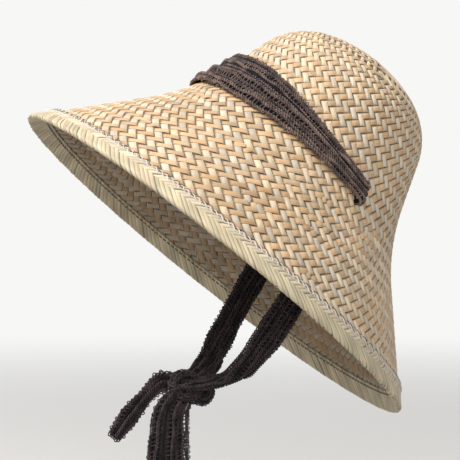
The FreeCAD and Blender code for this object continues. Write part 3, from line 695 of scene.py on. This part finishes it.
def smooth_route(points, step):
    """A smooth curve through the points, sampled every step; returns points and places."""
    points = [np.array(p, float) for p in points]
    places = np.linspace(0, len(points) - 1, 1200)
    out = []
    for place in places:
        i = min(int(place), len(points) - 2)
        t = place - i
        p1, p2 = points[i], points[i + 1]
        p0 = points[i - 1] if i else p1 * 2 - p2
        p3 = points[i + 2] if i + 2 < len(points) else p2 * 2 - p1
        m1, m2 = (p2 - p0) * 0.5, (p3 - p1) * 0.5
        out.append(
            p1 * (2 * t**3 - 3 * t**2 + 1) + m1 * (t**3 - 2 * t**2 + t)
            + p2 * (3 * t**2 - 2 * t**3) + m2 * (t**3 - t**2)
        )
    out = np.array(out)
    length = path_length(out)
    count = max(int(length[-1] / step), 4)
    even = np.linspace(0, length[-1], count)
    route = np.stack([np.interp(even, length, out[:, k]) for k in range(3)], -1)
    return route, np.interp(even, length, places)


def from_rim(x, back, drop):
    """A worn point given from the rim's middle, in mm."""
    return np.array([x, back - OPENING * math.sin(TILT), -drop - OPENING * math.cos(TILT)]) * 1e-3


def strap_cloth(side):
    """The scarf from the slit past cheek and jaw into the knot, as the strap's solid lies."""
    route, place = smooth_route(
        [
            (side * 0.0720, HINGE[1], HINGE[2]),
            from_rim(side * 70, 34, 33),
            from_rim(side * 58, 13, 66),
            from_rim(side * 40, 1, 80),
            from_rim(12, -25, 88),
        ],
        STEP,
    )
    along = unit(np.gradient(route, axis=0))
    roll = ease((place - 1) / 2) * math.pi / 2
    facing = np.stack([side * np.cos(roll), np.zeros_like(roll), -np.sin(roll)], -1)
    wide = unit(np.cross(along, facing))
    out = unit(np.cross(wide, along))
    out *= np.sign((out * facing).sum(-1))[:, None]
    spread = 0.45 + 0.55 * ease(place / 0.6)
    swell = 1 + 0.06 * np.sin(place * 5.3 + side)
    thick = STRAP_THICK / 2 * (1 + 0.25 * (1 - ease(place / 0.4)) + 0.5 * ease((place - 1.7) / 1.4))
    return Cloth(route, wide, out, STRAP_WIDTH / 2 * spread * swell * 1e-3, thick * 1e-3)


# ---- crochet


def crochet_material(name, color, sheen=0.12):
    """Cotton yarn: matte, fuzzy, mottled, with painted shade in the plies' grooves and painted
    light on their crowns.
    """
    material, nodes, links, shader = new_material(name)
    tint, uv, coord = mapped(nodes)
    wave_map = node(nodes, "ShaderNodeMapping", {"Scale": (0.9, 1.0, 1.0)})
    waves = {"Scale": 0.75, "Distortion": 1.2}
    plies = node(nodes, "ShaderNodeTexWave", waves, bands_direction="DIAGONAL")
    fuzz, mottle = noise(nodes, 900.0), noise(nodes, 170.0, 4.0)
    shade = ramp(nodes, [(0.15, (0.35, 0.33, 0.36, 1)), (0.8, (1.25, 1.2, 1.18, 1))])
    patches = ramp(nodes, [(0.36, (0.36, 0.33, 0.37, 1)), (0.64, (1.35, 1.28, 1.22, 1))])
    links.new(uv, wave_map.inputs[0])
    links.new(wave_map.outputs[0], plies.inputs["Vector"])
    links.new(plies.outputs["Fac"], shade.inputs[0])
    links.new(coord, mottle.inputs["Vector"])
    links.new(mottle.outputs["Fac"], patches.inputs[0])
    links.new(coord, fuzz.inputs["Vector"])
    base = multiply(nodes, links, 1.0, tint, (*color, 1))
    worn = multiply(nodes, links, 0.9, base, patches.outputs[0])
    mixed = multiply(nodes, links, 0.8, worn, shade.outputs[0])
    links.new(mixed, shader.inputs["Base Color"])
    add_bump(nodes, links, shader, fuzz.outputs["Fac"], 0.5, 0.0003)
    set_inputs(shader, {
        "Roughness": 0.85, "Sheen Weight": sheen, "Sheen Roughness": 0.45,
        "Specular IOR Level": 0.25,
    })
    return material


YARN = crochet_material("yarn", (0.175, 0.136, 0.115))
# Painted shade: the ground under the yarn is the scarf's own dark colour, made darker still so the
# holes between the rows read as shade.
SHADED_GROUND = crochet_material("crochet_shaded_ground", (0.010, 0.008, 0.014), 0.1)
PITCH, PLY, YARN_R = 4.3e-3, 0.86e-3, 0.52e-3
WANDER = 38.0
EDGE, EDGE_OUT = 0.93, 0.1
BAR_EVERY, PICOT_EVERY, PICOT_SIZE, END_LOOP = 3.3e-3, 3.6e-3, 1.7e-3, 2.2e-3


def edge_fall(w):
    """How full the gathered cloth is across its width."""
    return (1 - np.abs(w) ** 5) ** 0.5


def ridges(cloth, w, folds):
    """Height of the outer face: lengthwise pleats that wander a little."""
    shift = w + 0.07 * np.sin(cloth.length * WANDER) + 0.03 * np.sin(cloth.length * 97)
    wave = np.cos(math.pi * folds * shift + 0.6)
    crease = np.exp(-(((shift - 0.36) / 0.17) ** 2))
    return np.maximum((0.66 + 0.42 * wave - 0.85 * crease) * edge_fall(w), 0.0)


def chain_row(batch, cloth, w, face, folds, phase, tone):
    """One row of chain stitches: two plies twisted round each other along the cloth."""
    drift = 0.035 * np.sin(cloth.length * 75 + phase * 3)
    w_here = w + drift + 0.03 * np.sin(cloth.length * 260 + phase)
    h = ridges(cloth, w_here, folds) * face
    turn = 2 * math.pi * cloth.length / PITCH + phase
    for ply in (0.0, math.pi):
        dw = PLY * np.cos(turn + ply) / cloth.half_width
        dh = PLY * 0.8 * np.sin(turn + ply) / cloth.half_thick
        path = cloth.at(np.clip(w_here + dw, -1.08, 1.08), h + dh)
        tube(batch, path, YARN_R, 5, tone)


def posts(batch, cloth, w_a, w_b, face, folds, every, tone):
    """Slanted bars of yarn between two rows."""
    spots = np.arange(0.001 + RNG.random() * every, cloth.length[-1] - 0.001, every)
    for spot in spots:
        i = int(np.searchsorted(cloth.length, spot))
        j = min(i + RNG.randint(1, 3), cloth.count - 1)
        rows = []
        for share, k in ((0.0, i), (0.5, (i + j) // 2), (1.0, j)):
            w = w_a + (w_b - w_a) * share
            h = ridges(cloth, w, folds)[k] * face * (1 + 0.06 * math.sin(share * math.pi))
            rows.append(one_point(cloth, w, h, k))
        tube(batch, rows, YARN_R * 0.8, 4, tone)


def one_point(cloth, w, h, k):
    """A single station's point, near the cloth's middle line."""
    return (
        cloth.middle[k] + cloth.wide[k] * (w * cloth.half_width[k])
        + cloth.out[k] * (h * cloth.half_thick[k])
    )


def picots(batch, cloth, side, every, size, tone):
    """Small loops along one long edge."""
    for spot in np.arange(0.002, cloth.length[-1] - 0.002, every):
        k = int(np.searchsorted(cloth.length, spot))
        k = min(max(k, 1), cloth.count - 2)
        along = unit(cloth.middle[k + 1] - cloth.middle[k - 1])
        edge = edge_point(cloth, side, k)
        outward = cloth.wide[k] * side
        turns = np.linspace(-0.35, math.pi + 0.35, 7)
        lift = RNG.uniform(-0.5, 0.6)
        reach = size * RNG.uniform(0.7, 1.35)
        loop = [
            edge + along * (math.cos(a) * reach * 0.62)
            + (outward * math.cos(lift) + cloth.out[k] * math.sin(lift)) * (math.sin(a) * reach)
            for a in turns
        ]
        tube(batch, loop, YARN_R * 0.85, 5, tone)


def end_loops(batch, cloth, size, tone):
    """Small loops along the cloth's last row."""
    tip = cloth.count - 1
    along = unit(cloth.middle[tip] - cloth.middle[tip - 3])
    for w in np.linspace(-0.85, 0.85, 6):
        start = one_point(cloth, w, 0.0, tip)
        reach, lift = size * RNG.uniform(0.8, 1.6), RNG.uniform(-0.4, 0.4)
        outward = along * math.cos(lift) + cloth.out[tip] * math.sin(lift)
        loop = [
            start + cloth.wide[tip] * (math.cos(a) * size * 0.55) + outward * (math.sin(a) * reach)
            for a in np.linspace(-0.3, math.pi + 0.3, 7)
        ]
        tube(batch, loop, YARN_R * 0.9, 5, tone)


def edge_point(cloth, side, k):
    """A point of the long edge; the crown's cloth follows the bell out to there."""
    if isinstance(cloth, CrownCloth):
        return cloth.at(EDGE * side, EDGE_OUT)[k]
    return one_point(cloth, EDGE * side, EDGE_OUT, k)


def ground_sheet(name, cloth, folds, span, every=5):
    """The scarf's cloth, folded lengthwise to and fro through its thickness."""
    across = folds * 4 + 1
    w = np.linspace(*span, across)
    h = 0.78 * np.sin(np.linspace(0, math.pi * folds, across) + math.pi / 2)
    columns = []
    for wi, hi in zip(w, h):
        columns.append(cloth.at(wi, hi * 0.8 * edge_fall(wi) + 0.02))
    keep = np.unique(np.concatenate([np.arange(0, cloth.count, every), [cloth.count - 1]]))
    grid = np.stack(columns, 1)[keep]
    batch = Batch()
    uv = grid_uv(
        cloth.length[keep][:, None] * 1000, np.arange(across)[None, :] * 1.2, grid.shape[:2]
    )
    batch.grid(grid, (1.0, 1.0, 1.0), uv)
    return batch.build(name, SHADED_GROUND)


def crochet(name, cloth, body, replaced, rows, folds, waves, faces=(1, -1),
            tones=(0.28, 0.5), span=(-EDGE, EDGE), ragged=1.0):
    """Ground sheet and yarn of one length of the scarf, riding on a body."""
    sheet = ground_sheet(f"{name}_cloth", cloth, waves, span)
    # Painted light and shade: one yarn gets bright tones and a warm tint on the hat, where light
    # falls, and dark tones and a bluer tint under the chin, where it lies in shade; each row's tone
    # is random within the range.
    tint = np.array([1.0, 0.97, 1.0] if body == "hat" else [0.92, 0.88, 1.12])
    batch = Batch()
    middle_tone = sum(tones) / 2 * tint
    places = np.linspace(-0.92, 0.92, rows)
    for face in faces:
        for w in places:
            tone = RNG.uniform(*tones) * tint
            chain_row(batch, cloth, w, face, folds, RNG.uniform(0, 6), tone)
        for a, b in zip(places, places[1:]):
            posts(batch, cloth, a, b, face, folds, BAR_EVERY, middle_tone)
    if body.endswith("tail"):
        end_loops(batch, cloth, END_LOOP, middle_tone)
    for side in (-1, 1):
        picots(batch, cloth, side, PICOT_EVERY, PICOT_SIZE * ragged, middle_tone)
    yarn = batch.build(f"{name}_yarn", YARN)
    for piece in (sheet, yarn):
        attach(piece, body)
    if replaced:
        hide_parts(replaced)


def build_band():
    # Painted light: the crown's yarn takes much brighter tones than the same yarn under the chin.
    crochet(
        "crown_scarf", CrownCloth(), "hat", "scarf_crown_band", 9, 3.4, 17,
        faces=(1,), tones=(0.8, 1.7),
    )


def build_straps():
    for side, name in ((1, "left"), (-1, "right")):
        cloth = strap_cloth(side)
        cut = cloth.count - int(SHORT_OF_KNOT / STEP)
        short = Cloth(
            cloth.middle[:cut], cloth.wide[:cut], cloth.out[:cut],
            cloth.half_width[:cut], cloth.half_thick[:cut],
        )
        crochet(f"strap_{name}", short, "chin_tie", f"scarf_strap_{name}", 6, 2.4, 16)


def tail_cloth(points, wide, out, widths, thick):
    route, place = smooth_route(points, STEP)
    along = unit(np.gradient(route, axis=0))
    wide = np.asarray(wide, float)
    wide = unit(wide - along * (along @ wide)[:, None])
    out_dir = unit(np.cross(along, wide))
    out_dir *= np.sign(out_dir @ np.asarray(out, float))[:, None]
    half = np.interp(place, np.arange(len(widths)), widths) / 2
    return Cloth(route, wide, out_dir, half, thick / 2)


def build_tails():
    knot = np.array(KNOT)
    long_points = [
        knot + (0.0045, -0.001, -0.004), knot + (0.0065, -0.0105, -0.018),
        knot + (0.0075, -0.013, -0.050), knot + (0.0060, -0.012, -0.090),
        knot + (0.0072, -0.0145, -0.135), knot + (0.0065, -0.013, -0.1712),
    ]
    cloth = tail_cloth(
        long_points, (0, -1, 0), (1, 0, 0), [0.015, 0.026, 0.030, 0.029, 0.031, 0.0285], 0.0066
    )
    crochet("tail_long", cloth, "long_tail", "scarf_tail_long", 8, 2.6, 14, span=(-0.62, EDGE))
    lean = math.radians(38)
    bend = np.array([-0.0065, -0.020, 0.003])
    down = np.array([0, -math.sin(lean), -math.cos(lean)])
    short_points = [
        knot + (-0.0045, -0.002, 0.001), knot + bend * (1, 0.75, 1.2),
        knot + bend + down * 0.012 + (0.002, 0, 0),
        knot + bend + down * 0.031 + (-0.002, 0, 0), knot + bend + down * 0.049,
    ]
    cloth = tail_cloth(
        short_points, (0, -math.cos(lean), math.sin(lean)), (1, 0, 0),
        [0.010, 0.0135, 0.0085, 0.0130, 0.009], 0.0054,
    )
    crochet("tail_short", cloth, "short_tail", "scarf_tail_short", 5, 2.2, 18, ragged=1.1)


def wrap_cloth(centre, across, radius, squash, start, end, half_width, half_thick, lean):
    """A turn of the scarf round the knot: across is the axis it goes round."""
    across = unit(across)
    first = unit(np.cross(across, (0, 0, 1.0)))
    second = np.cross(across, first)
    turns = np.linspace(start, end, max(int((end - start) * radius / STEP), 12))
    out = first * np.cos(turns)[:, None] + second * (np.sin(turns) * squash)[:, None]
    middle = centre + out * radius + across * (np.sin(turns) * lean)[:, None]
    return Cloth(middle, np.broadcast_to(across, out.shape), unit(out), half_width, half_thick)


def lump(centre, axes, radii):
    """A closed uneven ball: its points along three axes, with a radius for each."""
    rows, sides = 17, 24
    v = np.linspace(-math.pi / 2, math.pi / 2, rows)[:, None]
    u = np.linspace(0, 2 * math.pi, sides, endpoint=False)[None, :]
    swell = 1 + 0.05 * np.sin(3 * u + 2 * v) + 0.04 * np.sin(5 * v + u)
    ball = (np.sin(v) * swell, np.cos(v) * np.cos(u) * swell, np.cos(v) * np.sin(u) * swell)
    points = sum(
        (share * radius)[..., None] * axis for share, radius, axis in zip(ball, radii, axes)
    )
    return centre + points, grid_uv(v * 12, u * 8, (rows, sides))


def build_knot():
    """Three turns of the scarf round a filled core, and the roll that hangs from it."""
    knot = np.array(KNOT)
    roll = knot + (0.002, 0.0115, -0.0035)
    # Name, centre, axis, radius, squash, first and last angle, half width and thickness, lean.
    loops = (
        ("knot_wrap", knot, (1, 0.15, 0.1), 0.0092, 1.0, 0.3, 6.5, 0.0095, 0.0024, 0.002),
        ("knot_cross", knot + (-0.001, 0.001, 0), (0.55, -0.2, 0.8), 0.0098, 0.95,
         0.0, 5.6, 0.0058, 0.0023, 0.003),
        ("knot_lobe", roll, (0.9, 0.3, -0.2), 0.0058, 1.25, 0.6, 6.6, 0.0080, 0.0032, -0.002),
    )
    for name, *turn in loops:
        crochet(name, wrap_cloth(*turn), "chin_tie", None, 5, 2.2, 18)
    batch = Batch()
    axis = unit((0.9, 0.3, -0.2))
    side = unit(np.cross(axis, (0, 0, 1.0)))
    for centre, axes, radii in (
        (knot, np.eye(3), (0.0112, 0.0092, 0.0092)),
        (roll, (axis, side, np.cross(axis, side)), (0.0078, 0.0052, 0.0060)),
    ):
        points, uv = lump(centre, axes, radii)
        batch.grid(points, (0.6, 0.6, 0.6), uv, wrap=True)
    # The core is the same near-black ground at 0.6: painted shade inside the knot.
    core = batch.build("knot_core", SHADED_GROUND)
    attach(core, "chin_tie")
    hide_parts("scarf_knot")


# ---- hem and stitches

HEM_REACH, WIRE_DROP = 12.0, 1.7
HEM_HALF = WALL / 2 + 0.05 + 1.1
HEM_STRANDS, HEM_SLANT = 232, 1.15
SHINGLE = np.array([-0.42, 0.02, 0.18, 0.12, -0.25])
STITCHES, STITCH_UP, STITCH_IN = 114, 11.0, 9.6


def hem_point(along, out, theta):
    """A point near the rim: along is down the slope from the wall's edge, out along its normal."""
    brim = math.atan2(ROWS[-1, 3], ROWS[-1, 2])
    r = RIM - WALL / 2 / math.cos(brim) + along * math.sin(brim) + out * math.cos(brim)
    z = -along * math.cos(brim) + out * math.sin(brim)
    return np.stack([OVAL * r * np.sin(theta), -r * np.cos(theta), z + 0 * theta], -1)


def hem_section(lift):
    """The way round the edge: down the outside, round the wire, up the inside."""
    half = HEM_HALF + lift
    outside = np.linspace(-HEM_REACH, WIRE_DROP, 8)
    bend = np.linspace(math.pi / 2, -math.pi / 2, 8)[1:-1]
    along = np.concatenate([outside, WIRE_DROP + half * np.cos(bend), outside[::-1]])
    out = np.concatenate([np.full(8, half), half * np.sin(bend), np.full(8, -half)])
    out[0] -= 0.5
    out[-1] += 0.5
    return along, out


def hem_row(batch, along, out, slant, tone):
    """Slanted strands laid side by side round the rim, each over its neighbour's edge."""
    across = np.linspace(-1, 1, len(SHINGLE))
    length = np.concatenate([[0], np.cumsum(np.hypot(np.diff(along), np.diff(out)))])
    for n in range(HEM_STRANDS):
        start = 2 * math.pi * (n + RNG.uniform(-0.15, 0.15)) / HEM_STRANDS
        middle = start + (length - length[-1] / 2) * slant / (RIM * OVAL_MEAN)
        half = math.pi / HEM_STRANDS * 1.2 * RNG.uniform(0.9, 1.1)
        rows = []
        for i in range(len(along)):
            lift = SHINGLE + 0.10 * math.sin(i * 0.9 + n)
            sign = np.clip(out[i] / HEM_HALF, -1, 1)
            drop = math.sqrt(max(1 - sign * sign, 0))
            theta = middle[i] + across * half
            rows.append(hem_point(along[i] + lift * drop, out[i] + lift * sign, theta))
        points = np.array(rows)
        color = np.array(tone) * RNG.uniform(0.82, 1.12)
        color = color * np.array([1 + RNG.uniform(-0.04, 0.04), 1, 1])
        color = np.broadcast_to(color, points.shape).copy()
        # Painted shade: each strand's edges are darkened, most of all the edge that tucks under its
        # neighbour.
        color[:, 0] *= 0.16
        color[:, 4] *= 0.5
        color *= (0.92 + 0.08 * np.sin(length / 3 + n))[:, None, None]
        uv = grid_uv(length[:, None] + n * 31, across[None, :] * 2.5, points.shape[:2])
        batch.grid(to_worn(points), np.clip(color, 0, 1), uv)


def build_hem():
    batch = Batch()
    along, out = hem_section(-0.1)
    hem_row(batch, along[3:], out[3:], HEM_SLANT, (0.82, 0.72, 0.52))
    upper = np.linspace(-HEM_REACH - 0.6, -5.6, 6)
    rise = np.array([-0.6, 0.1, 0.25, 0.25, 0.1, -0.45])
    hem_row(batch, upper, HEM_HALF + rise, -HEM_SLANT, (0.86, 0.76, 0.57))
    hem = batch.build("hem_strips", STRAW)
    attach(hem, "hat")
    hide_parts("brim_hem")


def thread_material(name, roughness):
    """Twisted cotton thread: its own tint with painted shade in the grooves between the plies."""
    material, nodes, links, shader = new_material(name)
    tint, uv, _ = mapped(nodes)
    plies = node(nodes, "ShaderNodeTexWave", {"Scale": 1.3}, bands_direction="DIAGONAL")
    shade = ramp(nodes, [(0.2, (0.62, 0.6, 0.6, 1)), (0.75, (1.1, 1.1, 1.1, 1))])
    links.new(uv, plies.inputs["Vector"])
    links.new(plies.outputs["Fac"], shade.inputs[0])
    mixed = multiply(nodes, links, 0.9, tint, shade.outputs[0])
    links.new(mixed, shader.inputs["Base Color"])
    set_inputs(shader, {"Roughness": roughness, "Sheen Weight": 0.2})
    return material


def build_stitches():
    """Two crossing threads and their shade along the hem, and short stitches inside the brim."""
    batch = Batch()
    turns = np.linspace(0, 2 * math.pi, STITCHES * 8 + 1)
    for sign, tone, radius, up in (
        (1, (0.86, 0.80, 0.72), 0.45, 0.0), (-1, (0.80, 0.73, 0.66), 0.42, 0.3),
        (1, (0.10, 0.08, 0.07), 0.25, 2.0),
    ):
        wave = STITCHES * turns
        along = -STITCH_UP - up + sign * 1.5 * np.sin(wave)
        out = HEM_HALF + 0.45 + 0.35 * np.cos(wave) * sign
        path = to_worn(hem_point(along, out, turns))
        tube(batch, path, radius * 1e-3, 5, tone, caps=False)
    for n in range(STITCHES * 2):
        theta = 2 * math.pi * (n + 0.3) / (STITCHES * 2) + np.linspace(0, 0.019, 5)
        bow = np.sin(np.linspace(0, math.pi, 5))
        path = to_worn(hem_point(np.full(5, -STITCH_IN), -HEM_HALF - 0.15 - 0.35 * bow, theta))
        tube(batch, path, 0.42e-3, 5, (0.10, 0.08, 0.08))
    stitches = batch.build("hem_thread", thread_material("thread", 0.6))
    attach(stitches, "hat")
    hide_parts("hem_stitching")


def finish_wire():
    """Gives the CAD wire, hidden in the hem, a dull metal."""
    material, nodes, links, shader = new_material("wire")
    coord = node(nodes, "ShaderNodeTexCoord")
    wear = noise(nodes, 300.0)
    tone = ramp(nodes, [(0.35, (0.32, 0.3, 0.28, 1)), (0.7, (0.62, 0.61, 0.6, 1))])
    links.new(coord.outputs["Object"], wear.inputs["Vector"])
    links.new(wear.outputs["Fac"], tone.inputs[0])
    links.new(tone.outputs[0], shader.inputs["Base Color"])
    set_inputs(shader, {"Metallic": 1.0, "Roughness": 0.35})
    for obj in bpy.data.objects:
        if "brim_wire" in obj.name and obj.type == "MESH":
            for slot in obj.material_slots:
                slot.material = material


build_hem()
build_stitches()
finish_wire()
build_band()
build_straps()
build_knot()
build_tails()

# ---- stage and camera

BACKDROP = (0.93, 0.93, 0.92, 1)
HALF_FRAME_PX = 230

def background_rays(nodes, links):
    """1 for the rays that see the pale background, as the camera does."""
    path = node(nodes, "ShaderNodeLightPath")
    seen = path.outputs["Is Camera Ray"]
    for name in ("Is Glossy Ray", "Is Transmission Ray"):
        either = node(nodes, "ShaderNodeMath", operation="MAXIMUM")
        links.new(seen, either.inputs[0])
        links.new(path.outputs[name], either.inputs[1])
        seen = either.outputs[0]
    return seen


def mix_into(nodes, links, share, first, second, output):
    mix = node(nodes, "ShaderNodeMixShader")
    links.new(share, mix.inputs[0])
    links.new(first.outputs[0], mix.inputs[1])
    links.new(second.outputs[0], mix.inputs[2])
    links.new(mix.outputs[0], nodes[output].inputs[0])


def build_stage():
    """A floor that is darker for bounced light and fades into the backdrop far out."""
    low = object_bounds()[0][2]
    bpy.ops.mesh.primitive_plane_add(size=14, location=(0, 0, low - 0.001))
    floor = bpy.context.object
    floor.name = "floor"
    material, nodes, links, shader = new_material("floor")
    set_inputs(shader, {"Roughness": 0.9})
    tones = {6: (0.34, 0.33, 0.32, 1), 7: (0.86, 0.85, 0.83, 1)}
    tone = node(nodes, "ShaderNodeMix", data_type="RGBA")
    set_inputs(tone, tones)
    place = node(nodes, "ShaderNodeNewGeometry")
    reach = node(nodes, "ShaderNodeVectorMath", operation="LENGTH")
    span = {"From Min": 0.6, "From Max": 3.0}
    fade = node(nodes, "ShaderNodeMapRange", span, interpolation_type="SMOOTHSTEP")
    rays = background_rays(nodes, links)
    seen = node(nodes, "ShaderNodeMath", operation="MULTIPLY")
    glow = node(nodes, "ShaderNodeEmission", {0: BACKDROP})
    links.new(place.outputs["Position"], reach.inputs[0])
    links.new(reach.outputs["Value"], fade.inputs["Value"])
    links.new(fade.outputs[0], seen.inputs[0])
    links.new(rays, seen.inputs[1])
    links.new(rays, tone.inputs[0])
    links.new(tone.outputs[2], shader.inputs["Base Color"])
    mix_into(nodes, links, seen.outputs[0], shader, glow, "Material Output")
    floor.data.materials.append(material)


def build_world():
    world = bpy.data.worlds.new("world")
    bpy.context.scene.world = world
    world.use_nodes = True
    nodes, links = world.node_tree.nodes, world.node_tree.links
    back = set_inputs(nodes["Background"], {0: (0.95, 0.97, 1.0, 1), 1: 0.33})
    seen = node(nodes, "ShaderNodeBackground", {0: BACKDROP})
    mix_into(nodes, links, background_rays(nodes, links), back, seen, "World Output")


def area_light(name, place, aim, size, power, color):
    data = bpy.data.lights.new(name, "AREA")
    data.shape = "DISK"
    data.size, data.energy, data.color = size, power, color
    lamp = bpy.data.objects.new(name, data)
    lamp.location = place
    lamp.rotation_euler = (Vector(aim) - Vector(place)).to_track_quat("-Z", "Y").to_euler()
    bpy.context.scene.collection.objects.link(lamp)


def build_camera():
    azimuth, distance, per_px = math.radians(77.5), 1.05, 0.74e-3
    right = Vector((math.cos(azimuth), math.sin(azimuth), 0))
    toward = Vector((-math.sin(azimuth), math.cos(azimuth), 0))
    rim_middle = Vector((0, -OPENING * math.sin(TILT) * 1e-3, -OPENING * math.cos(TILT) * 1e-3))
    target = rim_middle + right * (15.5 * per_px) + Vector((0, 0, 35 * per_px))
    data = bpy.data.cameras.new("camera")
    data.sensor_width = 36.0
    data.angle = 2 * math.atan(HALF_FRAME_PX * per_px / distance)
    data.clip_start = 0.05
    camera = bpy.data.objects.new("camera", data)
    camera.location = target - toward * distance
    camera.rotation_euler = toward.to_track_quat("-Z", "Y").to_euler()
    bpy.context.scene.collection.objects.link(camera)
    bpy.context.scene.camera = camera


build_stage()
build_world()
area_light("key", (0.50, -1.35, 2.1), (0, -0.03, 0), 0.42, 56, (1.0, 0.97, 0.93))
area_light("fill", (2.3, -0.6, 0.7), (0, 0, -0.05), 1.6, 25, (1.0, 0.99, 0.97))
build_camera()
bpy.context.scene.view_settings.view_transform = "Standard"
